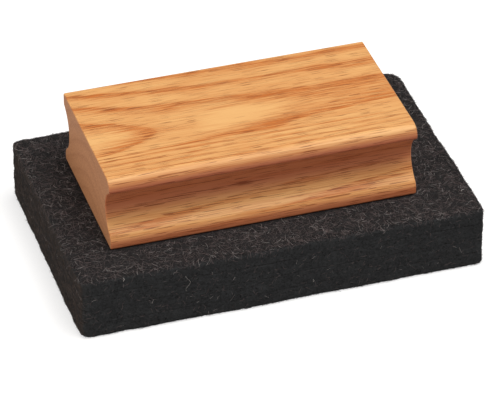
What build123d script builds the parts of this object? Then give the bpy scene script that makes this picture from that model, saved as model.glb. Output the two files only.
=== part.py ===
from build123d import *
import os

# Chalkboard eraser: a moulded oak grip glued on a thick pad of laminated wool felt.
#
# The eraser rests on its wiping face. X runs along its length, Y across it and Z up, and the
# origin is the middle of the wiping face. The felt pad is four plies of pressed felt with a thin
# film of contact adhesive in each joint. The grip is one length of planed oak moulding with a
# hollow, the cove, down each long side for the thumb and the fingers.

# Felt pad, mm. The trims are how far short of the largest ply each one was cut, per side.
pad_length = 150.0
pad_width = 96.0
pad_corner_radius = 2.0
ply_thickness = 5.9
ply_trims = {
    "felt_wiping_ply": 0.25,
    "felt_lower_ply": 0.0,
    "felt_upper_ply": 0.35,
    "felt_top_ply": 0.1,
}
pad_edge_radius = 1.2

# Adhesive. Each film stops short of the edges of what it holds, so that none squeezes out.
film_thickness = 0.2
ply_film_margin = 3.0
grip_film_margin = 1.5
film_corner_radius = 3.0
ply_film_names = ("lower_glue_film", "middle_glue_film", "upper_glue_film")

# Oak grip, mm. It was set down a little to the left of the pad's middle and towards its front.
grip_length = 114.0
grip_width = 61.0
grip_height = 28.7
grip_offset_x = -2.2
grip_offset_y = -1.2
nose_height = 5.0
nose_radius = 4.0
back_nose_radius = 1.0
cove_depth = 6.2
lip_height = 4.6
under_nose_radius = 1.4
lip_top_radius = 4.5
lip_base_radius = 0.8
end_edge_radius = 0.5
# A corner of the section is found within this distance of its height.
corner_reach = 0.05

# Heights that follow from the stack.
layer_pitch = ply_thickness + film_thickness
pad_height = len(ply_trims) * ply_thickness + len(ply_film_names) * film_thickness
grip_base = pad_height + film_thickness


def save(piece, name):
    """Label a finished piece and write it as parts/name.step."""
    piece.part.label = name
    export_step(piece.part, f"parts/{name}.step")


def felt_ply(name, level):
    """One ply of felt, counted from the wiping face. The two outer plies have soft outer edges."""
    trim = ply_trims[name]
    bottom = Plane.XY.offset(level * layer_pitch)
    with BuildPart() as ply:
        with BuildSketch(bottom):
            RectangleRounded(pad_length - 2 * trim, pad_width - 2 * trim, pad_corner_radius)
        extrude(amount=ply_thickness)
        if level == 0:
            fillet(ply.edges().group_by(Axis.Z)[0], radius=pad_edge_radius)
        if level == len(ply_trims) - 1:
            fillet(ply.edges().group_by(Axis.Z)[-1], radius=pad_edge_radius)
    return ply


def glue_film(centre, length, width):
    """A flat film of adhesive with its underside at the given point."""
    with BuildPart() as film:
        with BuildSketch(Plane(origin=centre)):
            RectangleRounded(length, width, film_corner_radius)
        extrude(amount=film_thickness)
    return film


def oak_grip():
    """The grip: its cross-section, drawn on one end and extruded along the grain."""
    half_width = grip_width / 2
    nose_base = grip_height - nose_height
    cove_middle = (half_width - cove_depth, (nose_base + lip_height) / 2)
    end = Plane(
        origin=(grip_offset_x - grip_length / 2, grip_offset_y, grip_base),
        x_dir=(0, 1, 0),
        z_dir=(1, 0, 0),
    )
    with BuildPart() as grip:
        with BuildSketch(end) as section:
            with BuildLine():
                Polyline((0, grip_height), (0, 0), (half_width, 0), (half_width, lip_height))
                ThreePointArc((half_width, lip_height), cove_middle, (half_width, nose_base))
                Polyline((half_width, nose_base), (half_width, grip_height), (0, grip_height))
            make_face()
            mirror(about=Plane.YZ)
            # The front corner of each height is first in order along X, the back corner last.
            rounded = (
                (0, lip_base_radius, lip_base_radius),
                (lip_height, lip_top_radius, lip_top_radius),
                (nose_base, under_nose_radius, under_nose_radius),
                (grip_height, nose_radius, back_nose_radius),
            )
            for height, *radii in rounded:
                lowest, highest = height - corner_reach, height + corner_reach
                for corner, radius in zip((0, -1), radii):
                    level = section.vertices().filter_by_position(Axis.Y, lowest, highest)
                    fillet(level.sort_by(Axis.X)[corner], radius=radius)
        extrude(amount=grip_length)
        ends = grip.faces().filter_by(Axis.X).sort_by(Axis.X)
        fillet(ends[0].edges() + ends[-1].edges(), radius=end_edge_radius)
    return grip


os.makedirs("parts", exist_ok=True)

for level, name in enumerate(ply_trims):
    save(felt_ply(name, level), name)

for level, name in enumerate(ply_film_names):
    joint = (0, 0, level * layer_pitch + ply_thickness)
    margins = 2 * ply_film_margin
    save(glue_film(joint, pad_length - margins, pad_width - margins), name)

grip_joint = (grip_offset_x, grip_offset_y, pad_height)
grip_film = glue_film(
    grip_joint, grip_length - 2 * grip_film_margin, grip_width - 2 * grip_film_margin
)
save(grip_film, "grip_glue_film")

save(oak_grip(), "oak_grip")
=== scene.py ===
"""Chalkboard eraser: the looks of its varnished oak grip and its laminated felt pad.

Laid out as an add-on and run as a script. Everything is in metres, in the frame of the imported
model, with the eraser resting on its wiping face at z = 0.
"""

import math

import bmesh
import bpy
from bpy.props import FloatProperty, FloatVectorProperty, IntProperty
from bpy.props import PointerProperty, StringProperty
from mathutils import Matrix, Vector, noise


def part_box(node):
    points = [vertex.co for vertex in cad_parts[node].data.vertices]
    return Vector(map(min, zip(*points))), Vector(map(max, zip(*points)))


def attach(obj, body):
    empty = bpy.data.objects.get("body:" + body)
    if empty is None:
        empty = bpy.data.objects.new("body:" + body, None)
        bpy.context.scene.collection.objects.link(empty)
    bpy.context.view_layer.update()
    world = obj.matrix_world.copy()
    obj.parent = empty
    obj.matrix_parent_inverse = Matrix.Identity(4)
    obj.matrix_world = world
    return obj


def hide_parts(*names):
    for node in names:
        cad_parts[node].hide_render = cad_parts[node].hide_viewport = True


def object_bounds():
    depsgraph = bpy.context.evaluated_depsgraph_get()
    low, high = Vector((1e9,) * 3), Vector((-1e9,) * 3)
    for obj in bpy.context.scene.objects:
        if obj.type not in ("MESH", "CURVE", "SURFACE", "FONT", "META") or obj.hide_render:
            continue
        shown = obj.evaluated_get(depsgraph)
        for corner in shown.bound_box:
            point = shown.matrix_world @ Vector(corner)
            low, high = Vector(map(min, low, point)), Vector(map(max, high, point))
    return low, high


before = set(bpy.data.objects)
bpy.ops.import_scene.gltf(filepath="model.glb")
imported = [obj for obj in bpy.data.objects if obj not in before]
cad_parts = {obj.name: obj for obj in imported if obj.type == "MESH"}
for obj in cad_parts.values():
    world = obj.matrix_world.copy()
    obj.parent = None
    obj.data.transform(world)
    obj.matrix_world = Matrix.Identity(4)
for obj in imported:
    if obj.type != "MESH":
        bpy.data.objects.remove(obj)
cad_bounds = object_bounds()

bl_info = {
    "name": "Chalkboard Eraser",
    "version": (1, 0, 0),
    "blender": (4, 5, 0),
    "location": "3D View > Sidebar > Eraser",
    "description": "Builds the finishes, felt and stage of a wooden-backed chalkboard eraser",
    "category": "Object",
}

MM = 0.001
ROOT = "root"
GRIP = "oak_grip"
grip_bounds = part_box(GRIP)
PLIES = ("felt_wiping_ply", "felt_lower_ply", "felt_upper_ply", "felt_top_ply")
GLUE_FILMS = ("lower_glue_film", "middle_glue_film", "upper_glue_film", "grip_glue_film")
WHITE = (1, 1, 1, 1)
MATH, VECTOR_MATH = "ShaderNodeMath", "ShaderNodeVectorMath"
MAP_RANGE, MIX = "ShaderNodeMapRange", "ShaderNodeMix"
SMOOTH = {"interpolation_type": "SMOOTHSTEP"}

# ---- Shared tools ----


def linear(hex_colour):
    """An sRGB colour such as "#c8843f" as linear red, green, blue and alpha."""
    channels = [int(hex_colour[i : i + 2], 16) / 255 for i in (1, 3, 5)]
    return [c / 12.92 if c <= 0.04045 else ((c + 0.055) / 1.055) ** 2.4 for c in channels] + [1.0]


def add(tree, kind, inputs=(), **settings):
    """Adds a node, sets it up, and gives its inputs values or links, by name or in order.

    A node given as a value stands for its first output.
    """
    node = tree.nodes.new(kind)
    for name, value in settings.items():
        setattr(node, name, value)
    for key, value in inputs.items() if isinstance(inputs, dict) else enumerate(inputs):
        if isinstance(value, bpy.types.Node):
            value = value.outputs[0]
        if isinstance(value, bpy.types.NodeSocket):
            tree.links.new(value, node.inputs[key])
        else:
            node.inputs[key].default_value = value
    return node


def new_material(name):
    """An empty node material and its tree."""
    material = bpy.data.materials.new(name)
    material.use_nodes = True
    material.node_tree.nodes.clear()
    return material, material.node_tree


def finish_material(tree, shader):
    """Puts the shader on the material's output."""
    add(tree, "ShaderNodeOutputMaterial", {"Surface": shader})


def place_felt(name, mesh, *replaced):
    """Makes an object of a finished mesh, which rides on the eraser and may stand for CAD nodes."""
    piece = bpy.data.objects.new(name, mesh)
    bpy.context.scene.collection.objects.link(piece)
    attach(piece, ROOT)
    if replaced:
        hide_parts(*replaced)
    return piece


# ---- Settings ----


def colour_property(name, description, default):
    """A text property that holds an sRGB hex colour."""
    return StringProperty(name=name, description=description, default=default)


def angle_property(name, description, degrees):
    """An angle whose default is given in degrees."""
    return FloatProperty(
        name=name,
        description=description,
        default=math.radians(degrees),
        subtype="ANGLE",
        unit="ROTATION",
    )


def length_property(name, description, default):
    """A length in metres."""
    return FloatProperty(
        name=name, description=description, default=default, subtype="DISTANCE", unit="LENGTH"
    )


def power_property(name, description, default):
    """The power of a light in watts."""
    return FloatProperty(
        name=name, description=description, default=default, subtype="POWER", unit="POWER"
    )


class StageSettings(bpy.types.PropertyGroup):
    """Camera, floor and lights."""

    azimuth: angle_property(
        "Azimuth", "How far the camera stands round to the left of the eraser's front", 17.31
    )
    elevation: angle_property("Elevation", "How far the camera looks down", 34.6)
    roll: angle_property("Roll", "How far the camera leans", -0.35)
    distance: length_property("Distance", "From the camera to the point that it looks at", 1.3237)
    target: FloatVectorProperty(
        name="Target",
        description="The point that the camera looks at",
        default=(0.00201, 0.0, 0.01218),
        subtype="XYZ",
        unit="LENGTH",
    )
    focal_length: FloatProperty(
        name="Focal length",
        description="Focal length in millimetres on a 36 mm wide sensor",
        default=261.3,
    )
    floor_size: length_property("Floor size", "Side of the square floor", 16.0)
    floor_colour: colour_property("Floor colour", "The pale studio floor", "#b9b9b9")
    key_power: power_property(
        "Key power", "Power of the large softbox above and to the right", 28.8
    )
    fill_power: power_property("Fill power", "Power of the weak warm light low on the left", 7.0)
    room_light: FloatProperty(
        name="Room light",
        description="Strength of the even light from all round",
        default=0.28,
    )
    floor_glow: FloatProperty(
        name="Floor glow",
        description="How brightly the floor, a lit white board, glows by itself",
        default=0.62,
    )


class GripSettings(bpy.types.PropertyGroup):
    """The oak's colours and figure, and the tints that paint shade on the moulded sides and on the
    nose.
    """

    late_colour: colour_property("Latewood", "Smooth pale wood between the rings", "#e3af70")
    early_colour: colour_property("Earlywood", "Orange-brown porous wood of the rings", "#c06e31")
    pore_colour: colour_property("Pores", "Stain caught in the open pores", "#7d3d18")
    # Painted shade: a redder, darker tint for the faces that turn away from up, standing in for the
    # shade and warm bounce light of the cove.
    side_shade_colour: colour_property("Side shade", "Tints the moulded sides", "#f3d3f0")
    # Painted shade: the tint that darkens the rounded nose just below the top, where it turns away
    # from the light.
    nose_shade_colour: colour_property("Nose", "Tints the handled front nose", "#e8dde2")
    end_colour: colour_property("End grain", "Duller brown of the sawn ends", "#c59269")
    pore_width: length_property(
        "Pore width", "Width of an open pore where it is cut lengthwise", 0.24 * MM
    )


class FeltSettings(bpy.types.PropertyGroup):
    """The pressed felt of the pad."""

    face_colour: colour_property("Felt face", "Charcoal wool with some undyed brown", "#2e2c2c")
    side_colour: colour_property("Felt side", "The cut side, which shows less brown", "#404142")
    end_colour: colour_property("Felt ends", "The short ends, cut through browner wool", "#4d443f")
    dark_colour: colour_property("Deep felt", "The hollows between the fibres", "#121112")
    cut_waviness: length_property(
        "Cut waviness", "How far the hand-cut edge strays from straight", 0.45 * MM
    )
    lumpiness: length_property(
        "Lumpiness", "Height of the soft lumps of the pressed surface", 0.22 * MM
    )


class FuzzSettings(bpy.types.PropertyGroup):
    """The loose fibres that stand on the felt."""

    thickness: length_property(
        "Fibre thickness", "Wool is about 0.04 mm thick; drawn coarser so that it shows", 0.09 * MM
    )
    length: length_property("Fibre length", "Usual length of a loose fibre", 2.6 * MM)
    seed: IntProperty(name="Seed", description="Changes how the fibres fall", default=4)
    charcoal_colour: colour_property("Charcoal fibre", "Most of the fibres", "#3b3b3c")
    brown_colour: colour_property("Brown fibre", "Undyed brown fibres", "#6b5f5e")
    pale_colour: colour_property("Pale fibre", "Sparse grey fibres", "#a09997")
    lint_colour: colour_property("Lint", "The few pale threads caught on the felt", "#b3aeaa")


class GlueSettings(bpy.types.PropertyGroup):
    """The films of adhesive."""

    thick_colour: colour_property("Thick glue", "Where the adhesive pooled", "#7c5a24")
    thin_colour: colour_property("Thin glue", "Where the adhesive was drawn out", "#c79a4e")
    string_size: length_property(
        "String size", "Size of the strings that the adhesive dried in", 4 * MM
    )


# ---- Stage ----


# The floor lies this far below the felt, so that the two never share a plane.
FLOOR_GAP = 0.03 * MM
# Each softbox: the setting that holds its power, its side and place in metres, and its colour.
SOFTBOXES = (
    ("key_power", 1.3, (0.35, -0.36, 1.6), "#fffdfb"),
    ("fill_power", 0.8, (-1.3, -0.2, 0.45), "#fff4ea"),
)


def camera_matrix(settings):
    """Where the camera stands and how it is turned."""
    azimuth, elevation, roll = settings.azimuth, settings.elevation, settings.roll
    back = Vector((
        -math.sin(azimuth) * math.cos(elevation),
        -math.cos(azimuth) * math.cos(elevation),
        math.sin(elevation),
    ))
    level_right = Vector((math.cos(azimuth), -math.sin(azimuth), 0))
    level_up = back.cross(level_right)
    right = math.cos(roll) * level_right + math.sin(roll) * level_up
    up = -math.sin(roll) * level_right + math.cos(roll) * level_up
    matrix = Matrix((right, up, back)).transposed().to_4x4()
    matrix.translation = Vector(settings.target) + back * settings.distance
    return matrix


def make_camera(settings):
    """The camera at the viewing angle."""
    data = bpy.data.cameras.new("camera")
    data.lens = settings.focal_length
    camera = bpy.data.objects.new("camera", data)
    camera.matrix_world = camera_matrix(settings)
    bpy.context.scene.collection.objects.link(camera)
    bpy.context.scene.camera = camera


def make_area_light(name, power, size, position, colour):
    """A square softbox that faces the eraser."""
    data = bpy.data.lights.new(name, "AREA")
    data.energy = power
    data.size = size
    data.color = linear(colour)[:3]
    light = bpy.data.objects.new(name, data)
    place = Vector(position)
    turn = place.to_track_quat("Z", "Y").to_matrix().to_4x4()
    light.matrix_world = Matrix.Translation(place) @ turn
    bpy.context.scene.collection.objects.link(light)


def make_room_light(strength):
    """An even pale light from all round, in front of a white backdrop."""
    world = bpy.data.worlds.new("studio")
    world.use_nodes = True
    tree = world.node_tree
    tree.nodes.clear()
    seen = add(tree, "ShaderNodeLightPath").outputs["Is Camera Ray"]
    light = add(tree, "ShaderNodeBackground", {"Color": WHITE, "Strength": strength})
    backdrop = add(tree, "ShaderNodeBackground", {"Color": WHITE, "Strength": 1.0})
    mixed = add(tree, "ShaderNodeMixShader", (seen, light, backdrop))
    add(tree, "ShaderNodeOutputWorld", {"Surface": mixed})
    bpy.context.scene.world = world


def lit_white_board(colour, glow):
    """A matte board lit from inside: it looks white and keeps the shadow on it faint."""
    material, tree = new_material("lit_white_board")
    board = add(tree, "ShaderNodeBsdfDiffuse", {"Color": linear(colour)})
    light = add(tree, "ShaderNodeEmission", {"Color": WHITE, "Strength": glow})
    glowing = add(tree, "ShaderNodeAddShader", (board, light))
    seen = add(tree, "ShaderNodeLightPath").outputs["Is Camera Ray"]
    shader = add(tree, "ShaderNodeMixShader", (seen, board, glowing))
    finish_material(tree, shader)
    return material


def make_floor(settings):
    """The pale floor that the eraser lies on."""
    half, level = settings.floor_size / 2, -FLOOR_GAP
    mesh = bpy.data.meshes.new("floor")
    signs = ((-1, -1), (1, -1), (1, 1), (-1, 1))
    corners = [(half * x, half * y, level) for x, y in signs]
    mesh.from_pydata(corners, [], [(0, 1, 2, 3)])
    mesh.materials.append(lit_white_board(settings.floor_colour, settings.floor_glow))
    floor = bpy.data.objects.new("floor", mesh)
    bpy.context.scene.collection.objects.link(floor)


class ERASER_OT_stage(bpy.types.Operator):
    """Set up the camera, the pale floor and the soft studio light"""

    bl_idname = "eraser.stage"
    bl_label = "Stage"

    def execute(self, context):
        settings = context.scene.eraser_stage
        make_camera(settings)
        make_floor(settings)
        for power, size, position, colour in SOFTBOXES:
            make_area_light(power, getattr(settings, power), size, position, colour)
        make_room_light(settings.room_light)
        context.scene.view_settings.view_transform = "Standard"
        return {"FINISHED"}


# ---- Oak grip ----


# The plank was sawn a little off the heart. Its rings are wide arches on the top, nested along a
# middle line that drifts backward, and narrow and straight along the front, where they climb to
# the right on the moulded side. Lengths are in millimetres.
# An arch is a line of equal level. The level grows by ARCH_SPREAD times the ARCH_POWER of the
# distance from the middle line, by up to ARCH_REACH along the grain, where it slows down over
# ARCH_FADE, and by ARCH_SINK for each millimetre down. The first ring edge is at FIRST_ARCH, and
# the next ones follow every ARCH_PITCH.
ARCH_MIDDLE = 34.8
ARCH_DRIFT = -0.03
ARCH_ROUNDNESS = 7.0
ARCH_POWER = 1.35
ARCH_SPREAD = 1.2
ARCH_REACH = 64.0
ARCH_FADE = 42.0
ARCH_SINK = -7.0
FIRST_ARCH = 29.5
ARCH_PITCH = 44.5
FRONT_RINGS = (43.5, 48.0)
FRONT_START = 48.5
FRONT_PITCH = 3.0
SIDE_FROM, SIDE_TO = 3.0, 8.0
SIDE_CLIMB = 0.066
SIDE_WIDENING = -0.85
SIDE_RINGS_PER_MM = -0.2
FRONT_FIRST_RING = 2.0
# How far the rings wander: on the arches, on the straight front, and raggedly everywhere.
ARCH_SWAY = 5.0
FRONT_SWAY = 0.8
RAGGED_SWAY = 1.3
# Share of porous early wood through one ring, from its edge outward.
RING_STOPS = (
    (0.0, 0.35), (0.1, 0.12), (0.4, 0.0), (0.6, 0.3), (0.8, 0.8), (0.95, 1.0), (1.0, 0.35)
)
# Length and width of the streaks of noise that steer each pattern.
WAVE_STREAKS = (38.0, 9.0)
RAGGED_STREAKS = (10.0, 1.5)
DRIFT_STREAKS = (60.0, 8.0)
OVAL_STREAKS = (16.0, 3.0)
# The wood's own silky threads are finer; these are drawn coarser so that they show.
THREAD_STREAKS = (20.0, 0.38)
# How many times as long as wide a pore is drawn, and the spacing of the pores in widths.
PORE_LENGTH = 36
PORE_SPACING = 1.05
# A pore opens where the noise is over this, between rings and in the earlywood.
PORE_LEVELS = (0.68, 0.575)
OVAL_DEPTH = 14.0
# Depths below the top between which painted shade darkens the nose, and between which the painted
# shade fades out again.
NOSE_SHADE_IN = (0.5, 2.0)
NOSE_SHADE_OUT = (7.5, 5.0)
# Specks of open pores per millimetre of end grain.
END_SPECKS = 1.5
# Smooth pale ovals where the saw just grazed a ring: centre, half size and turn in degrees.
PALE_OVALS = (((57.0, 34.0), (21.0, 7.5), 6.0), ((8.0, 34.5), (14.0, 8.0), 0.0))


def oak_coordinates(tree):
    """Millimetres along the grain from the left end, forward from the back, down from the top."""
    low, high = grip_bounds
    place = add(tree, "ShaderNodeTexCoord").outputs["Object"]
    start = (-low.x / MM, high.y / MM, high.z / MM)
    scale = (1 / MM, -1 / MM, -1 / MM)
    return add(tree, "ShaderNodeMapping", {"Vector": place, "Location": start, "Scale": scale})


def grain_streaks(tree, place, lengthwise, across, detail=2.0, roughness=0.5):
    """Noise drawn out along the grain, with the given sizes in millimetres."""
    factor = (1 / lengthwise, 1 / across, 1 / across)
    squeezed = add(tree, VECTOR_MATH, (place, factor), operation="MULTIPLY")
    inputs = {"Vector": squeezed, "Scale": 1.0, "Detail": detail, "Roughness": roughness}
    return add(tree, "ShaderNodeTexNoise", inputs)


def oak_ring_count(tree, place):
    """How many rings out from the tree's heart each point is. Whole numbers are ring edges."""
    along, forward, down = add(tree, "ShaderNodeSeparateXYZ", (place,)).outputs
    front = add(tree, MAP_RANGE, (forward, *FRONT_RINGS), **SMOOTH)
    calming = (front, FRONT_SWAY - ARCH_SWAY, ARCH_SWAY)
    sway = add(tree, MATH, calming, operation="MULTIPLY_ADD")
    slow = grain_streaks(tree, place, *WAVE_STREAKS)
    centred = add(tree, MATH, (slow, 0.5), operation="SUBTRACT")
    wave = add(tree, MATH, (centred, sway), operation="MULTIPLY")
    rough = grain_streaks(tree, place, *RAGGED_STREAKS, 3.0)
    ragged = add(tree, MATH, (rough, 0.5), operation="SUBTRACT")
    wander = add(tree, MATH, (ragged, RAGGED_SWAY, wave), operation="MULTIPLY_ADD")
    strayed = add(tree, MATH, (forward, wander), operation="ADD")
    # Arches: round at their tips, and drawn out along the grain.
    middle = add(tree, MATH, (along, ARCH_DRIFT, ARCH_MIDDLE), operation="MULTIPLY_ADD")
    aside = add(tree, MATH, (strayed, middle), operation="SUBTRACT")
    rounded = (aside, aside, ARCH_ROUNDNESS**2)
    squared = add(tree, MATH, rounded, operation="MULTIPLY_ADD")
    spread = add(tree, MATH, (squared, ARCH_POWER / 2), operation="POWER")
    faded = add(tree, MATH, (along, -ARCH_FADE), operation="DIVIDE")
    decay = add(tree, MATH, (faded,), operation="EXPONENT")
    start = ARCH_REACH - ARCH_SPREAD * ARCH_ROUNDNESS**ARCH_POWER - FIRST_ARCH
    reach = add(tree, MATH, (decay, -ARCH_REACH, start), operation="MULTIPLY_ADD")
    level = add(tree, MATH, (spread, ARCH_SPREAD, reach), operation="MULTIPLY_ADD")
    sunk = add(tree, MATH, (down, ARCH_SINK, level), operation="MULTIPLY_ADD")
    arches = add(tree, MATH, (sunk, ARCH_PITCH), operation="DIVIDE")
    # Straight rings, wider and climbing on the moulded side.
    side = add(tree, MAP_RANGE, (down, SIDE_FROM, SIDE_TO), **SMOOTH)
    tight = add(tree, MATH, (side, SIDE_WIDENING, 1.0), operation="MULTIPLY_ADD")
    past = add(tree, MATH, (strayed, FRONT_START), operation="SUBTRACT")
    years = add(tree, MATH, (past, FRONT_PITCH), operation="DIVIDE")
    climb = add(tree, MATH, (along, SIDE_CLIMB), operation="MULTIPLY")
    lifted = add(tree, MATH, (climb, side, down), operation="MULTIPLY_ADD")
    sinks = (lifted, SIDE_RINGS_PER_MM, FRONT_FIRST_RING)
    sinking = add(tree, MATH, sinks, operation="MULTIPLY_ADD")
    straight = add(tree, MATH, (years, tight, sinking), operation="MULTIPLY_ADD")
    both = {0: front, 2: arches, 3: straight}
    return add(tree, MIX, both, data_type="FLOAT")


def pale_oval(tree, place, centre, half_size, turn):
    """A soft oval on the top: 1 in its middle, 0 outside. Sizes in mm, turn in degrees."""
    inputs = {
        "Vector": place,
        "Location": (*centre, 0),
        "Rotation": (0, 0, math.radians(-turn)),
        "Scale": (*half_size, OVAL_DEPTH),
    }
    oval = add(tree, "ShaderNodeMapping", inputs, vector_type="TEXTURE")
    away = add(tree, VECTOR_MATH, (oval,), operation="LENGTH").outputs["Value"]
    ragged = grain_streaks(tree, place, *OVAL_STREAKS)
    uneven = add(tree, MATH, (ragged, 0.9, -0.45), operation="MULTIPLY_ADD")
    frayed = add(tree, MATH, (away, uneven), operation="ADD")
    return add(tree, MAP_RANGE, (frayed, 1.0, 0.35), **SMOOTH)


def varnished_oak(settings):
    """Plain-sawn oak under a clear satin varnish.

    The eye gets long orange-brown arches, smooth pale latewood between them, short dark pores
    that lie along the grain, and a soft wide sheen.
    """
    material, tree = new_material("varnished_oak")
    place = oak_coordinates(tree)
    _, forward, down = add(tree, "ShaderNodeSeparateXYZ", (place,)).outputs
    normal = add(tree, "ShaderNodeTexCoord").outputs["Normal"]
    lengthwise, _, upward = add(tree, "ShaderNodeSeparateXYZ", (normal,)).outputs
    rings = oak_ring_count(tree, place)
    phase = add(tree, MATH, (rings,), operation="FRACT")
    ramp = add(tree, "ShaderNodeValToRGB", (phase,))
    elements = ramp.color_ramp.elements
    while len(elements) < len(RING_STOPS):
        elements.new(0.5)
    for element, (position, value) in zip(elements, RING_STOPS):
        element.position = position
        element.color = (value, value, value, 1)
    ovals = [pale_oval(tree, place, *oval) for oval in PALE_OVALS]
    patch = add(tree, MATH, ovals, operation="MAXIMUM")
    # Broad drifts of colour, and fine silky streaks that break each ring up into threads.
    drift = grain_streaks(tree, place, *DRIFT_STREAKS)
    streak = grain_streaks(tree, place, *THREAD_STREAKS, 3.0, 0.6)
    threads = add(tree, MAP_RANGE, (streak, 0.38, 0.62), **SMOOTH)
    uneven = add(tree, MATH, (drift, 0.7, -0.2), operation="MULTIPLY_ADD")
    paled = add(tree, MATH, (patch, -0.32, uneven), operation="MULTIPLY_ADD")
    threaded = add(tree, MATH, (threads, 0.55, 0.35), operation="MULTIPLY_ADD")
    mild = add(
        tree, MAP_RANGE, (forward, 43.0, 50.0, 1.0, 0.6), **SMOOTH
    )
    strength = add(tree, MATH, (threaded, mild), operation="MULTIPLY")
    band = add(tree, MATH, (ramp, strength, paled), operation="MULTIPLY_ADD")
    grained = add(tree, MATH, (threads, 0.34, -0.07), operation="MULTIPLY_ADD")
    warmth = add(tree, MATH, (band, grained), operation="ADD", use_clamp=True)
    # The moulded sides show the figure more evenly than the sanded top. Painted shade: where the
    # faces turn away from up they are multiplied by a redder, darker tint that stands in for the
    # shade and warm bounce light of the cove.
    moulded = add(tree, MAP_RANGE, (upward, 0.7, -0.1), **SMOOTH)
    evened = add(tree, MATH, (moulded, 0.75), operation="MULTIPLY")
    soaked = add(tree, MIX, {0: evened, 2: warmth, 3: 0.62}, data_type="FLOAT")
    tones = {0: soaked, 6: linear(settings.late_colour), 7: linear(settings.early_colour)}
    wood = add(tree, MIX, tones, data_type="RGBA").outputs[2]
    # Pores: thin tubes along the grain, crowded into the earlywood and sparse between.
    width = settings.pore_width / MM
    tubes = grain_streaks(tree, place, PORE_LENGTH * width, PORE_SPACING * width, 0.0)
    threshold = add(tree, MAP_RANGE, (ramp, 0.0, 1.0, *PORE_LEVELS))
    fewer = add(tree, MATH, (patch, 0.12, threshold), operation="MULTIPLY_ADD")
    above = add(tree, MATH, (tubes, fewer), operation="SUBTRACT")
    pores = add(tree, MAP_RANGE, (above, 0.0, 0.03), **SMOOTH)
    stain = add(tree, MATH, (pores, 0.7), operation="MULTIPLY")
    pored = {0: stain, 6: wood, 7: linear(settings.pore_colour)}
    face = add(tree, MIX, pored, data_type="RGBA").outputs[2]
    # Painted shade and bounce light: the side tint is multiplied in where the faces turn away from
    # up.
    side_shaded = {0: moulded, 6: face, 7: linear(settings.side_shade_colour)}
    face = add(tree, MIX, side_shaded, data_type="RGBA", blend_type="MULTIPLY").outputs[2]
    # Painted shade: the rounded nose is darkened just below the top, where it turns from the light,
    # and the darkening fades out lower down.
    below = add(tree, MAP_RANGE, (down, *NOSE_SHADE_IN), **SMOOTH)
    over = add(tree, MAP_RANGE, (down, *NOSE_SHADE_OUT), **SMOOTH)
    nose = add(tree, MATH, (below, over), operation="MULTIPLY")
    shade_darkened = {0: nose, 6: face, 7: linear(settings.nose_shade_colour)}
    face = add(tree, MIX, shade_darkened, data_type="RGBA", blend_type="MULTIPLY").outputs[2]
    # The sawn ends soak up more finish: duller, browner and rougher.
    facing = add(tree, MATH, (lengthwise,), operation="ABSOLUTE")
    end = add(tree, MAP_RANGE, (facing, 0.75, 0.95, 0.0, 0.85))
    speckle = add(tree, "ShaderNodeTexNoise", {"Vector": place, "Scale": END_SPECKS, "Detail": 2.0})
    speckled = add(tree, MAP_RANGE, (speckle, 0.42, 0.62, 0.0, 0.35))
    pitted = add(tree, MATH, (ramp, 0.14, speckled), operation="MULTIPLY_ADD")
    open_ends = {0: pitted, 6: linear(settings.end_colour), 7: linear(settings.pore_colour)}
    end_grain = add(tree, MIX, open_ends, data_type="RGBA").outputs[2]
    sawn = {0: end, 6: face, 7: end_grain}
    colour = add(tree, MIX, sawn, data_type="RGBA").outputs[2]
    roughness = add(tree, MAP_RANGE, (end, 0.0, 0.85, 0.42, 0.6))
    hollow = add(tree, MATH, (pores, -1.0), operation="MULTIPLY")
    relief = add(tree, MATH, (streak, 0.5, hollow), operation="MULTIPLY_ADD")
    bump = add(tree, "ShaderNodeBump", {"Height": relief, "Distance": 0.02 * MM, "Strength": 0.6})
    varnish = {
        "Base Color": colour,
        "Roughness": roughness,
        "IOR": 1.5,
        "Specular IOR Level": 0.22,
        "Coat Weight": 0.04,
        "Coat Roughness": 0.3,
        "Normal": bump,
    }
    finish_material(tree, add(tree, "ShaderNodeBsdfPrincipled", varnish))
    return material


def refinish(node, material):
    """Gives a CAD piece a finish through its own slots."""
    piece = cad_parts[node]
    if not piece.material_slots:
        piece.data.materials.append(None)
    for slot in piece.material_slots:
        slot.link = "OBJECT"
        slot.material = material


class ERASER_OT_grip(bpy.types.Operator):
    """Varnish the oak grip"""

    bl_idname = "eraser.grip"
    bl_label = "Oak grip"

    def execute(self, context):
        refinish(GRIP, varnished_oak(context.scene.eraser_grip))
        return {"FINISHED"}


# ---- Felt pad ----

# Radius of each corner as it was trimmed by hand: front right, back right, back left, front left.
CORNER_RADII = (1.8 * MM, 5.0 * MM, 2.2 * MM, 3.2 * MM)
# The pad was cut a little out of square: its back edge stands in at the left and out at the
# right, and its right edge stands out at the back.
BACK_EDGE_SKEW = 0.8 * MM
RIGHT_EDGE_SKEW = 0.5 * MM
CORNER_STEPS = 7
RIM_SPACING = 0.75 * MM
SEAM_RADIUS = 0.14 * MM
# Outside the film of glue the felt of one ply swells to meet the next.
SEAM_SWELL = 0.09 * MM
SWOLLEN_RIM = 2.5 * MM
OUTER_RADIUS = 1.5 * MM
FACE_SPACING = 1.0 * MM
SIDE_SPACING = 0.6 * MM
# A hidden face has only three rings: this far in from its edge, at this share of the half width,
# and, as on every face, this far from the middle line.
HIDDEN_INSET = 1.5 * MM
HIDDEN_SHARE = 0.3
MIDDLE_GAP = 0.8 * MM
# The knife's slow and quick waves along the whole stack, and the waves of each ply by itself.
SLOW_CUT, QUICK_CUT, QUICK_SHARE = 26 * MM, 8 * MM, 0.45
PLY_CUT, PLY_SHARE, PLY_SHIFT = 11 * MM, 0.35, 7.3
# The cut's waves die out between these distances in from the edge.
CUT_FADES = (0.5 * MM, 9 * MM)
# Sizes of the large and the small lumps, and the height of the small ones against the large.
LARGE_LUMP, SMALL_LUMP, SMALL_SHARE = 3.6 * MM, 1.3 * MM, 0.5
# The top's lumps fade out towards the grip over this distance, and lie this far down on the whole.
GRIP_CLEARANCE = 2.5 * MM
LUMPS_DOWN = 0.1 * MM


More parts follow.
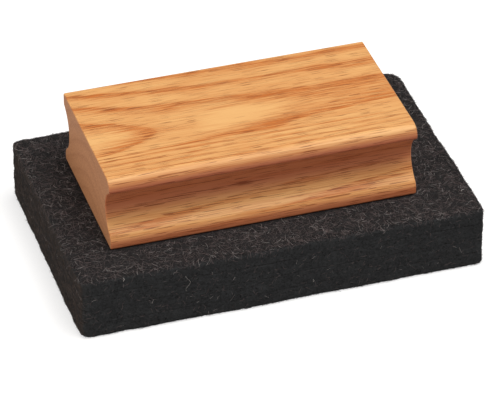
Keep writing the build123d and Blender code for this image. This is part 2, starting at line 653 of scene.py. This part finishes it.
def rim(half_length, half_width, inset):
    """One ring of points round the pad at an inset from its edge, each with its way out."""
    shrink = 1 - inset / half_width
    radii = [radius * shrink for radius in CORNER_RADII]
    x_half, y_half = half_length - inset, half_width - inset
    signs = ((1, -1), (1, 1), (-1, 1), (-1, -1))
    centres = [
        Vector((sx * (x_half - radius), sy * (y_half - radius)))
        for (sx, sy), radius in zip(signs, radii)
    ]
    steps = [round(2 * half_width / RIM_SPACING), round(2 * half_length / RIM_SPACING)]
    ring = []
    for corner, (centre, radius) in enumerate(zip(centres, radii)):
        start = (corner - 1) * math.pi / 2
        for step in range(CORNER_STEPS + 1):
            angle = start + step / CORNER_STEPS * math.pi / 2
            out = Vector((math.cos(angle), math.sin(angle)))
            ring.append((centre + radius * out, out))
        last = ring[-1][0]
        following = (corner + 1) % 4
        target = centres[following] + radii[following] * out
        count = steps[corner % 2]
        ring += [(last.lerp(target, step / count), out) for step in range(1, count)]
    return ring


def quarter(radius, steps=4):
    """Inset and rise of points round a quarter of a small edge rounding."""
    turns = [step / steps * math.pi / 2 for step in range(steps + 1)]
    return [(radius * (1 - math.sin(turn)), radius * (1 - math.cos(turn))) for turn in turns]


def face_insets(edge, half_width, shows):
    """How far in each ring of a flat face lies. A hidden face needs only a few rings."""
    deepest = half_width - MIDDLE_GAP
    if not shows:
        return [edge + HIDDEN_INSET, HIDDEN_SHARE * half_width, deepest]
    count = int((deepest - edge) / FACE_SPACING)
    return [edge + (deepest - edge) * step / count for step in range(1, count + 1)]


def ply_section(low, high, half_width, bottom_shows, top_shows):
    """Inset and height of every ring of a ply, from the middle of its underside to its top."""
    bottom_edge = OUTER_RADIUS if bottom_shows else SEAM_RADIUS
    top_edge = OUTER_RADIUS if top_shows else SEAM_RADIUS
    underside = face_insets(bottom_edge, half_width, bottom_shows)
    section = [(inset, low) for inset in reversed(underside)]
    section += [(inset, low + rise) for inset, rise in quarter(bottom_edge)]
    span = high - low - bottom_edge - top_edge
    count = round(span / SIDE_SPACING)
    section += [(0.0, low + bottom_edge + span * step / count) for step in range(1, count)]
    section += [(inset, high - rise) for inset, rise in reversed(quarter(top_edge))]
    section += [(inset, high) for inset in face_insets(top_edge, half_width, top_shows)]
    return section


def beyond_grip(point):
    """How far a point lies outside the grip's footprint."""
    low, high = grip_bounds
    return max(low.x - point.x, point.x - high.x, low.y - point.y, point.y - high.y)


def smooth_step(value, start, stop):
    """Rises smoothly from 0 at start to 1 at stop."""
    share = min(max((value - start) / (stop - start), 0.0), 1.0)
    return share * share * (3 - 2 * share)


def cut_error(point, settings, ply):
    """How far the knife strayed: the pad was cut as a stack, and each ply moved a little."""
    stack = noise.noise(point / SLOW_CUT) + QUICK_SHARE * noise.noise(point / QUICK_CUT)
    own = noise.noise(point / PLY_CUT + Vector((0, 0, PLY_SHIFT * ply)))
    return settings.cut_waviness * (stack + PLY_SHARE * own)


def lump(place, settings):
    """Height of the soft lumps at a place on the felt."""
    large, small = noise.noise(place / LARGE_LUMP), noise.noise(place / SMALL_LUMP)
    return settings.lumpiness * (large + SMALL_SHARE * small)


def felt_point(point, out, inset, height, limits, settings, ply):
    """Moves a point of the plain ply to where the cut and the lumps put it."""
    low, high = limits
    flat = Vector((point.x, point.y, 0))
    place = Vector((point.x, point.y, height))
    edge_share = 1 - smooth_step(inset, *CUT_FADES)
    stray = cut_error(flat, settings, ply) * edge_share
    side_share = 1 - smooth_step(inset, 0.0, OUTER_RADIUS)
    along, across = point.x / cad_bounds[1].x, point.y / cad_bounds[1].y
    skew = BACK_EDGE_SKEW * along * max(out.y, 0.0)
    skew += RIGHT_EDGE_SKEW * max(across, 0.0) * max(out.x, 0.0)
    push = stray + skew * edge_share + lump(place, settings) * side_share
    moved = Vector((point.x + out.x * push, point.y + out.y * push, height))
    top_ply, wiping_ply = ply == len(PLIES) - 1, ply == 0
    swell = SEAM_SWELL * (1 - smooth_step(inset, 0.5 * SWOLLEN_RIM, SWOLLEN_RIM))
    if height > (low + high) / 2:
        moved.z += 0.0 if top_ply else swell
    else:
        moved.z -= 0.0 if wiping_ply else swell
    if top_ply and height > high - OUTER_RADIUS:
        free = smooth_step(beyond_grip(point), 0.0, GRIP_CLEARANCE)
        moved.z += (lump(place, settings) - LUMPS_DOWN) * free * (1 - side_share)
    if wiping_ply and height < low + OUTER_RADIUS:
        moved.z += max(lump(place, settings), 0.0) * 0.5 * (1 - side_share)
    return moved


def mark_shown_faces(mesh, limits, ply):
    """Notes, for the fibres, which faces of a ply's side, top and underside can be seen."""
    low, high = limits
    side, top, under = [], [], []
    for polygon in mesh.polygons:
        centre, lean = polygon.center, polygon.normal.z
        side.append(abs(lean) < 0.85)
        top.append(ply == len(PLIES) - 1 and lean > 0.5 and beyond_grip(centre) > 0.2 * MM)
        under.append(ply == 0 and lean < -0.5)
    for name, values in (("side", side), ("top", top), ("under", under)):
        mesh.attributes.new(name, "BOOLEAN", "FACE").data.foreach_set("value", values)


def ply_mesh(name, settings):
    """The mesh of one ply: rings of points round the pad, from its underside to its top."""
    ply = PLIES.index(name)
    lowest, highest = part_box(name)
    pad_low, pad_high = cad_bounds
    limits = lowest.z, highest.z
    half_length, half_width = (pad_high.x - pad_low.x) / 2, (pad_high.y - pad_low.y) / 2
    section = ply_section(*limits, half_width, ply == 0, ply == len(PLIES) - 1)
    mesh_data = bmesh.new()
    rings = []
    for inset, height in section:
        ring = [
            mesh_data.verts.new(felt_point(point, out, inset, height, limits, settings, ply))
            for point, out in rim(half_length, half_width, inset)
        ]
        rings.append(ring)
    for lower, upper in zip(rings, rings[1:]):
        for index in range(len(lower)):
            previous = index - 1
            mesh_data.faces.new((lower[previous], lower[index], upper[index], upper[previous]))
    for ring in (rings[0], rings[-1]):
        edges = [mesh_data.edges.get((ring[i - 1], ring[i])) for i in range(len(ring))]
        bmesh.ops.triangle_fill(mesh_data, edges=edges, use_beauty=True)
    bmesh.ops.recalc_face_normals(mesh_data, faces=mesh_data.faces)
    mesh = bpy.data.meshes.new(name + "_felt")
    mesh_data.to_mesh(mesh)
    mesh_data.free()
    mesh.shade_smooth()
    mark_shown_faces(mesh, limits, ply)
    return mesh


# The felt's tangle of lines, in millimetres: how long and how wide each wanders. Real fibres are
# too fine to show, so these are drawn coarser.
TANGLE_LENGTH = 2.4
TANGLE_WIDTH = 0.36
TANGLE_LINE = 0.09
# Turn in degrees and shift of each layer of lines.
TANGLE_LAYERS = ((12, 3.0), (68, 17.0), (-47, 41.0))
# Clumps and broad mottling, per millimetre.
CLUMPS = 1.1
MOTTLING = 0.3


def fibre_tangle(tree, millimetres, angle, shift):
    """One layer of lines that wander in one direction, as fibres do. 1 along a line, 0 between."""
    turn = (0, 0, math.radians(angle))
    turning = {"Vector": millimetres, "Location": (shift, 0, 0), "Rotation": turn}
    turned = add(tree, "ShaderNodeMapping", turning)
    factor = (1 / TANGLE_LENGTH, 1 / TANGLE_WIDTH, 1 / TANGLE_WIDTH)
    drawn = add(tree, VECTOR_MATH, (turned, factor), operation="MULTIPLY")
    wandering = {"Vector": drawn, "Scale": 1.0, "Detail": 1.0, "Distortion": 0.6}
    field = add(tree, "ShaderNodeTexNoise", wandering)
    middle = add(tree, MATH, (field, 0.5), operation="SUBTRACT")
    away = add(tree, MATH, (middle,), operation="ABSOLUTE")
    line = (away, 0.0, TANGLE_LINE, 1.0, 0.0)
    return add(tree, MAP_RANGE, line, **SMOOTH)


def pressed_wool_felt(settings):
    """Pressed wool felt, dyed charcoal.

    The eye gets a matte, almost black cloth with no weave: a mat of fine curved fibres that run
    every way, with a little brown in it and soft lumps under it.
    """
    material, tree = new_material("pressed_wool_felt")
    place = add(tree, "ShaderNodeTexCoord")
    scaling = {0: place.outputs["Object"], "Scale": 1 / MM}
    millimetres = add(tree, VECTOR_MATH, scaling, operation="SCALE")
    layers = [fibre_tangle(tree, millimetres, *layer) for layer in TANGLE_LAYERS]
    two = add(tree, MATH, layers[:2], operation="MAXIMUM")
    tangle = add(tree, MATH, (two, layers[2]), operation="MAXIMUM")
    depth = add(tree, MATH, (tangle, 0.6, 0.15), operation="MULTIPLY_ADD")
    patches = {"Vector": millimetres, "Scale": MOTTLING, "Detail": 4.0}
    mottle = add(tree, "ShaderNodeTexNoise", patches)
    lumps = {"Vector": millimetres, "Scale": CLUMPS, "Detail": 2.0}
    clumps = add(tree, "ShaderNodeTexNoise", lumps)
    clotted = add(tree, MATH, (clumps, 1.6, -0.8), operation="MULTIPLY_ADD")
    uneven = add(tree, MATH, (mottle, 0.5, clotted), operation="MULTIPLY_ADD")
    lit = add(tree, MATH, (uneven, depth), operation="ADD", use_clamp=True)
    # The short ends are browner than the long sides, and the flat faces are darker than either.
    normal = place.outputs["Normal"]
    endward, _, lean = add(tree, "ShaderNodeSeparateXYZ", (normal,)).outputs
    facing = add(tree, MATH, (endward,), operation="ABSOLUTE")
    on_end = add(tree, MAP_RANGE, (facing, 0.6, 0.9), **SMOOTH)
    sides = {0: on_end, 6: linear(settings.side_colour), 7: linear(settings.end_colour)}
    cut = add(tree, MIX, sides, data_type="RGBA").outputs[2]
    flat = add(tree, MATH, (lean,), operation="ABSOLUTE")
    on_face = add(tree, MAP_RANGE, (flat, 0.4, 0.9), **SMOOTH)
    faced = {0: on_face, 6: cut, 7: linear(settings.face_colour)}
    wool = add(tree, MIX, faced, data_type="RGBA").outputs[2]
    shaded = {0: lit, 6: linear(settings.dark_colour), 7: wool}
    colour = add(tree, MIX, shaded, data_type="RGBA").outputs[2]
    bump = add(tree, "ShaderNodeBump", {"Height": depth, "Distance": 0.25 * MM, "Strength": 0.8})
    cloth = {
        "Base Color": colour,
        "Roughness": 0.95,
        "IOR": 1.45,
        "Specular IOR Level": 0.1,
        "Normal": bump,
    }
    finish_material(tree, add(tree, "ShaderNodeBsdfPrincipled", cloth))
    return material


def wool_fibre(name, colour):
    """A single wool fibre: one dull colour, almost without shine.

    The eye gets its pattern from the mix of tones, as a fibre is too thin to show one of its own.
    """
    material, tree = new_material(name)
    dull = {"Base Color": linear(colour), "Roughness": 0.85, "Specular IOR Level": 0.12}
    finish_material(tree, add(tree, "ShaderNodeBsdfPrincipled", dull))
    return material


FUZZ_INPUTS = {
    "NodeSocketGeometry": ("Geometry",),
    "NodeSocketString": ("Area",),
    "NodeSocketFloat": (
        "Density", "Length", "Thickness", "Curl", "Lift", "Floor", "Spread",
        "Brown Share", "Pale Share",
    ),
    "NodeSocketInt": ("Seed",),
    "NodeSocketMaterial": ("Charcoal", "Brown", "Pale"),
}
FIBRE_JOINTS = 6
FIBRE_SIDES = 3
# How far a fibre may roll and tip, in radians, and its least and greatest scale.
FIBRE_ROLL = 0.3
FIBRE_TIP = 0.12
FIBRE_SIZES = {"Min": (0.45, 0.75, 0.75), "Max": (1.5, 1.1, 1.1)}
SIZE_SEED = 91.0
# Length over which a fibre bends, and the share of its curl away from the felt that is undone.
BEND_LENGTH = 2.2 * MM
FLATTENING = -0.75
# Sets the bends of neighbouring fibres far apart.
BEND_SPREAD = 900.0


def straight_fibre(tree, given):
    """One straight fibre: a thin tube along X, closed at its ends."""
    half = add(tree, MATH, (given["Length"], 0.5), operation="MULTIPLY")
    behind = add(tree, MATH, (half, -1.0), operation="MULTIPLY")
    start = add(tree, "ShaderNodeCombineXYZ", (behind,))
    stop = add(tree, "ShaderNodeCombineXYZ", (half,))
    line = add(tree, "GeometryNodeCurvePrimitiveLine", {"Start": start, "End": stop})
    jointed = add(tree, "GeometryNodeResampleCurve", {"Curve": line, "Count": FIBRE_JOINTS})
    radius = add(tree, MATH, (given["Thickness"], 0.5), operation="MULTIPLY")
    circle = {"Resolution": FIBRE_SIDES, "Radius": radius}
    ring = add(tree, "GeometryNodeCurvePrimitiveCircle", circle)
    tube = {"Curve": jointed, "Profile Curve": ring, "Fill Caps": True}
    return add(tree, "GeometryNodeCurveToMesh", tube)


def laid_fibres(tree, given, fibre):
    """Copies of a fibre on the named area, nearly level, and the felt's normal at each."""
    named = {"Name": given["Area"]}
    chosen = add(tree, "GeometryNodeInputNamedAttribute", named, data_type="BOOLEAN")
    spots = {
        "Mesh": given["Geometry"],
        "Selection": chosen,
        "Density": given["Density"],
        "Seed": given["Seed"],
    }
    scattered = add(tree, "GeometryNodeDistributePointsOnFaces", spots)
    normal = scattered.outputs["Normal"]
    across = add(tree, VECTOR_MATH, (normal, (0, 0, 1)), operation="CROSS_PRODUCT")
    level = add(
        tree,
        "FunctionNodeAlignRotationToVector",
        {"Rotation": scattered.outputs["Rotation"], "Vector": across},
        axis="X",
        pivot_axis="Z",
    )
    backward = add(tree, MATH, (given["Spread"], -1.0), operation="MULTIPLY")
    least = add(tree, "ShaderNodeCombineXYZ", (-FIBRE_ROLL, -FIBRE_TIP, backward))
    most = add(tree, "ShaderNodeCombineXYZ", (FIBRE_ROLL, FIBRE_TIP, given["Spread"]))
    turns = {"Min": least, "Max": most, "Seed": given["Seed"]}
    turn = add(tree, "FunctionNodeRandomValue", turns, data_type="FLOAT_VECTOR")
    euler = add(tree, "FunctionNodeEulerToRotation", (turn,))
    turned = add(tree, "FunctionNodeRotateRotation", (level, euler), rotation_space="LOCAL")
    other_seed = add(tree, MATH, (given["Seed"], SIZE_SEED), operation="ADD")
    sizes = {**FIBRE_SIZES, "Seed": other_seed}
    size = add(tree, "FunctionNodeRandomValue", sizes, data_type="FLOAT_VECTOR")
    raised = add(tree, VECTOR_MATH, {0: normal, "Scale": given["Lift"]}, operation="SCALE")
    facing = add(tree, "GeometryNodeCaptureAttribute", (scattered,))
    facing.capture_items.new("VECTOR", "Upright")
    tree.links.new(normal, facing.inputs["Upright"])
    lifted = add(tree, "GeometryNodeSetPosition", {"Geometry": facing, "Offset": raised})
    copies = {"Points": lifted, "Instance": fibre, "Rotation": turned, "Scale": size}
    return add(tree, "GeometryNodeInstanceOnPoints", copies), facing.outputs["Upright"]


def curled_fibres(tree, given, whole, upright, number):
    """Bends each fibre along the felt and hardly away from it, and keeps it above the floor."""
    own = add(tree, MATH, (number, BEND_SPREAD), operation="MULTIPLY")
    here = add(tree, "GeometryNodeInputPosition")
    bending = {"Vector": here, "W": own, "Scale": 1 / BEND_LENGTH, "Detail": 1.0}
    bend = add(tree, "ShaderNodeTexNoise", bending, noise_dimensions="4D").outputs["Color"]
    centred = add(tree, VECTOR_MATH, (bend, (0.5, 0.5, 0.5)), operation="SUBTRACT")
    dot = add(tree, VECTOR_MATH, (centred, upright), operation="DOT_PRODUCT")
    less = add(tree, MATH, (dot.outputs["Value"], FLATTENING), operation="MULTIPLY")
    taken = add(tree, VECTOR_MATH, {0: upright, "Scale": less}, operation="SCALE")
    along = add(tree, VECTOR_MATH, (centred, taken), operation="ADD")
    curled = add(tree, VECTOR_MATH, {0: along, "Scale": given["Curl"]}, operation="SCALE")
    bent = add(tree, "GeometryNodeSetPosition", {"Geometry": whole, "Offset": curled})
    moved = add(tree, "GeometryNodeInputPosition")
    x, y, height = add(tree, "ShaderNodeSeparateXYZ", (moved,)).outputs
    clear = add(tree, MATH, (height, given["Floor"]), operation="MAXIMUM")
    kept = add(tree, "ShaderNodeCombineXYZ", (x, y, clear))
    return add(tree, "GeometryNodeSetPosition", {"Geometry": bent, "Position": kept})


def fuzz_tree():
    """Geometry Nodes that lay loose curved fibres on the part of a ply that Area names."""
    tree = bpy.data.node_groups.new("loose_fibres", "GeometryNodeTree")
    for kind, names in FUZZ_INPUTS.items():
        for name in names:
            tree.interface.new_socket(name, in_out="INPUT", socket_type=kind)
    tree.interface.new_socket("Geometry", in_out="OUTPUT", socket_type="NodeSocketGeometry")
    given = add(tree, "NodeGroupInput").outputs
    laid, upright = laid_fibres(tree, given, straight_fibre(tree, given))
    # Numbers of its own for each fibre pick its curl and its tone.
    numbers = {"Min": (0, 0, 0), "Max": (1, 1, 1), "Seed": given["Seed"]}
    number = add(tree, "FunctionNodeRandomValue", numbers, data_type="FLOAT_VECTOR")
    noted = add(tree, "GeometryNodeCaptureAttribute", (laid,), domain="INSTANCE")
    noted.capture_items.new("VECTOR", "Number")
    tree.links.new(number.outputs[0], noted.inputs["Number"])
    whole = add(tree, "GeometryNodeRealizeInstances", (noted,))
    curl, tone, _ = add(tree, "ShaderNodeSeparateXYZ", (noted.outputs["Number"],)).outputs
    shaped = curled_fibres(tree, given, whole, upright, curl)
    joined = add(tree, "GeometryNodeRealizeInstances", (shaped,))
    painted = add(
        tree, "GeometryNodeSetMaterial", {"Geometry": joined, "Material": given["Charcoal"]}
    )
    pale = given["Pale Share"]
    either = add(tree, MATH, (given["Brown Share"], pale), operation="ADD")
    for limit, wool in ((either, "Brown"), (pale, "Pale")):
        below = add(tree, MATH, (tone, limit), operation="LESS_THAN")
        toned = {"Geometry": painted, "Selection": below, "Material": given[wool]}
        painted = add(tree, "GeometryNodeSetMaterial", toned)
    add(tree, "NodeGroupOutput", {"Geometry": painted})
    return tree


def grow_fuzz(name, source, tree, values):
    """Runs the fibre tree on a ply's mesh and keeps the result as a plain mesh."""
    ground = bpy.data.objects.new(name + "_ground", source)
    bpy.context.scene.collection.objects.link(ground)
    modifier = ground.modifiers.new("fibres", "NODES")
    modifier.node_group = tree
    for item in tree.interface.items_tree:
        if item.in_out == "INPUT" and item.name in values:
            modifier[item.identifier] = values[item.name]
    grown = ground.evaluated_get(bpy.context.evaluated_depsgraph_get())
    mesh = bpy.data.meshes.new_from_object(grown)
    mesh.name = name
    ground.modifiers.remove(modifier)
    bpy.data.objects.remove(ground)
    return place_felt(name, mesh)


# Each bed of fibres and the ply and area that it lies on. A bed's place in the list sets its seed.
FUZZ_BEDS = (
    ("top_fuzz_1", "felt_top_ply", "top"),
    ("top_fuzz_2", "felt_top_ply", "top"),
    ("top_fuzz_3", "felt_top_ply", "top"),
    ("top_side_fuzz", "felt_top_ply", "side"),
    ("upper_side_fuzz", "felt_upper_ply", "side"),
    ("lower_side_fuzz", "felt_lower_ply", "side"),
    ("wiping_side_fuzz", "felt_wiping_ply", "side"),
    ("wiping_face_fuzz", "felt_wiping_ply", "under"),
)
# For each area: fibres per square metre, greatest turn from level, length against the setting,
# and the shares of brown and of pale fibres.
FUZZ_AREAS = {
    "top": (0.72 / MM**2, math.pi, 1.0, 0.36, 0.06),
    "side": (1.5 / MM**2, 1.4, 0.65, 0.08, 0.006),
    "under": (0.3 / MM**2, math.pi, 1.0, 0.08, 0.006),
}
FUZZ_CURL = 2.4 * MM
FUZZ_LIFT = 0.08 * MM
FUZZ_FLOOR = -0.02 * MM


def fuzz_values(settings, tones, area, number):
    """What the fibre tree is given for one bed."""
    density, spread, length, brown, pale = FUZZ_AREAS[area]
    return {
        "Area": area,
        "Density": density,
        "Length": settings.length * length,
        "Thickness": settings.thickness,
        "Curl": FUZZ_CURL,
        "Lift": FUZZ_LIFT,
        "Floor": FUZZ_FLOOR,
        "Spread": spread,
        "Seed": settings.seed + number,
        "Brown Share": brown,
        "Pale Share": pale,
        **tones,
    }


def fibre_materials(settings):
    """The three tones of wool."""
    return {
        "Charcoal": wool_fibre("charcoal_wool", settings.charcoal_colour),
        "Brown": wool_fibre("undyed_brown_wool", settings.brown_colour),
        "Pale": wool_fibre("pale_grey_wool", settings.pale_colour),
    }


# Threads of lint caught on the pad: where the middle of each lies, as shares of the pad's length
# and width from its front left corner and of its height, how long it is, and half its thickness.
# One at the full height lies on the top, and the others hang on the front.
LINT_PLACES = (
    (0.105, 0.0, 0.96, 1.5 * MM, 0.09 * MM),
    (0.26, 0.0, 0.68, 6.5 * MM, 0.035 * MM),
    (0.57, 0.0, 0.3, 1.1 * MM, 0.07 * MM),
    (0.975, 0.14, 1.0, 1.5 * MM, 0.09 * MM),
)
LINT_ON_TOP = (Vector((0.8, 0.6, 0)), Vector((0, 0, 1)))
LINT_ON_FRONT = (Vector((0, 0, 1)), Vector((0, -1, 0)))
LINT_STEPS = 14
LINT_SIDES = 6
LINT_GAP = 0.3 * MM
# Width of a thread's curl against its length, its waves, and how its place shifts them.
LINT_CURL = 0.13
LINT_WAVES = 2.2 * math.pi
LINT_SHIFT = 40


def add_thread(tubes, start, lies, shift, length, radius):
    """Adds one curled thread, a closed tube, whose middle is near start."""
    run, out = lies
    sideways = run.cross(out)
    turns = [2 * math.pi * side / LINT_SIDES for side in range(LINT_SIDES)]
    round_it = [sideways * math.cos(turn) + out * math.sin(turn) for turn in turns]
    rings = []
    for step in range(LINT_STEPS):
        share = step / (LINT_STEPS - 1)
        curl = LINT_CURL * length * math.sin(LINT_WAVES * share + shift)
        centre = start + run * length * (share - 0.5) + sideways * curl + out * LINT_GAP
        rings.append([tubes.verts.new(centre + radius * way) for way in round_it])
    for lower, upper in zip(rings, rings[1:]):
        for side in range(LINT_SIDES):
            tubes.faces.new((lower[side - 1], lower[side], upper[side], upper[side - 1]))
    tubes.faces.new(rings[0])
    tubes.faces.new(rings[-1])


def lint_mesh():
    """A few pale curled threads on the front and the top of the pad."""
    low, high = cad_bounds
    pad_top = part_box(PLIES[-1])[1].z
    tubes = bmesh.new()
    for along, across, up, length, radius in LINT_PLACES:
        x, y = low.x + along * (high.x - low.x), low.y + across * (high.y - low.y)
        lies = LINT_ON_TOP if up == 1.0 else LINT_ON_FRONT
        add_thread(tubes, Vector((x, y, up * pad_top)), lies, LINT_SHIFT * along, length, radius)
    bmesh.ops.recalc_face_normals(tubes, faces=tubes.faces)
    mesh = bpy.data.meshes.new("pale_lint")
    tubes.to_mesh(mesh)
    tubes.free()
    mesh.shade_smooth()
    return mesh


class ERASER_OT_felt(bpy.types.Operator):
    """Make the four felt plies and the loose fibres on them"""

    bl_idname = "eraser.felt"
    bl_label = "Felt pad"

    def execute(self, context):
        felt, fuzz = context.scene.eraser_felt, context.scene.eraser_fuzz
        material = pressed_wool_felt(felt)
        tones = fibre_materials(fuzz)
        tree = fuzz_tree()
        for name in PLIES:
            mesh = ply_mesh(name, felt)
            mesh.materials.append(material)
            ply = place_felt(name + "_cloth", mesh, name)
            beds = [
                grow_fuzz(bed, mesh, tree, fuzz_values(fuzz, tones, area, number))
                for number, (bed, on, area) in enumerate(FUZZ_BEDS)
                if on == name
            ]
        return {"FINISHED"}


class ERASER_OT_lint(bpy.types.Operator):
    """Lay a few pale threads of lint on the felt"""

    bl_idname = "eraser.lint"
    bl_label = "Lint"

    def execute(self, context):
        settings = context.scene.eraser_fuzz
        mesh = lint_mesh()
        mesh.materials.append(wool_fibre("pale_cotton_lint", settings.lint_colour))
        place_felt("pale_lint", mesh)
        return {"FINISHED"}


# ---- Glue ----


def contact_adhesive(settings):
    """Dried contact adhesive: a thin amber skin, glossy and slightly stringy."""
    material, tree = new_material("dried_contact_adhesive")
    place = add(tree, "ShaderNodeTexCoord").outputs["Object"]
    string = {"Vector": place, "Scale": 1 / settings.string_size, "Detail": 5.0}
    strings = add(tree, "ShaderNodeTexNoise", string)
    tones = {0: strings, 6: linear(settings.thick_colour), 7: linear(settings.thin_colour)}
    colour = add(tree, MIX, tones, data_type="RGBA").outputs[2]
    bump = add(tree, "ShaderNodeBump", {"Height": strings, "Distance": 0.1 * MM})
    skin = {"Base Color": colour, "Roughness": 0.35, "Normal": bump}
    finish_material(tree, add(tree, "ShaderNodeBsdfPrincipled", skin))
    return material


class ERASER_OT_glue(bpy.types.Operator):
    """Finish the films of adhesive in the joints"""

    bl_idname = "eraser.glue"
    bl_label = "Glue films"

    def execute(self, context):
        material = contact_adhesive(context.scene.eraser_glue)
        for name in GLUE_FILMS:
            refinish(name, material)
        return {"FINISHED"}


# ---- Panel, registration and run ----


class ERASER_PT_panel(bpy.types.Panel):
    """Lists the eraser's pieces in the order that they are made"""

    bl_idname = "ERASER_PT_panel"
    bl_label = "Chalkboard Eraser"
    bl_space_type = "VIEW_3D"
    bl_region_type = "UI"
    bl_category = "Eraser"

    def draw(self, context):
        for operator in OPERATORS:
            self.layout.operator(operator.bl_idname)


SETTINGS = {
    "eraser_stage": StageSettings,
    "eraser_grip": GripSettings,
    "eraser_felt": FeltSettings,
    "eraser_fuzz": FuzzSettings,
    "eraser_glue": GlueSettings,
}
OPERATORS = (ERASER_OT_stage, ERASER_OT_grip, ERASER_OT_felt, ERASER_OT_lint, ERASER_OT_glue)


def register():
    """Registers the classes and hangs the settings on the scene."""
    for cls in (*SETTINGS.values(), *OPERATORS, ERASER_PT_panel):
        bpy.utils.register_class(cls)
    for name, cls in SETTINGS.items():
        setattr(bpy.types.Scene, name, PointerProperty(type=cls))


def unregister():
    """Undoes register."""
    for name in SETTINGS:
        delattr(bpy.types.Scene, name)
    for cls in (ERASER_PT_panel, *reversed(OPERATORS), *reversed(SETTINGS.values())):
        bpy.utils.unregister_class(cls)


def main():
    """Makes the whole eraser."""
    register()
    bpy.ops.eraser.stage()
    bpy.ops.eraser.grip()
    bpy.ops.eraser.felt()
    bpy.ops.eraser.lint()
    bpy.ops.eraser.glue()


if __name__ == "__main__":
    main()
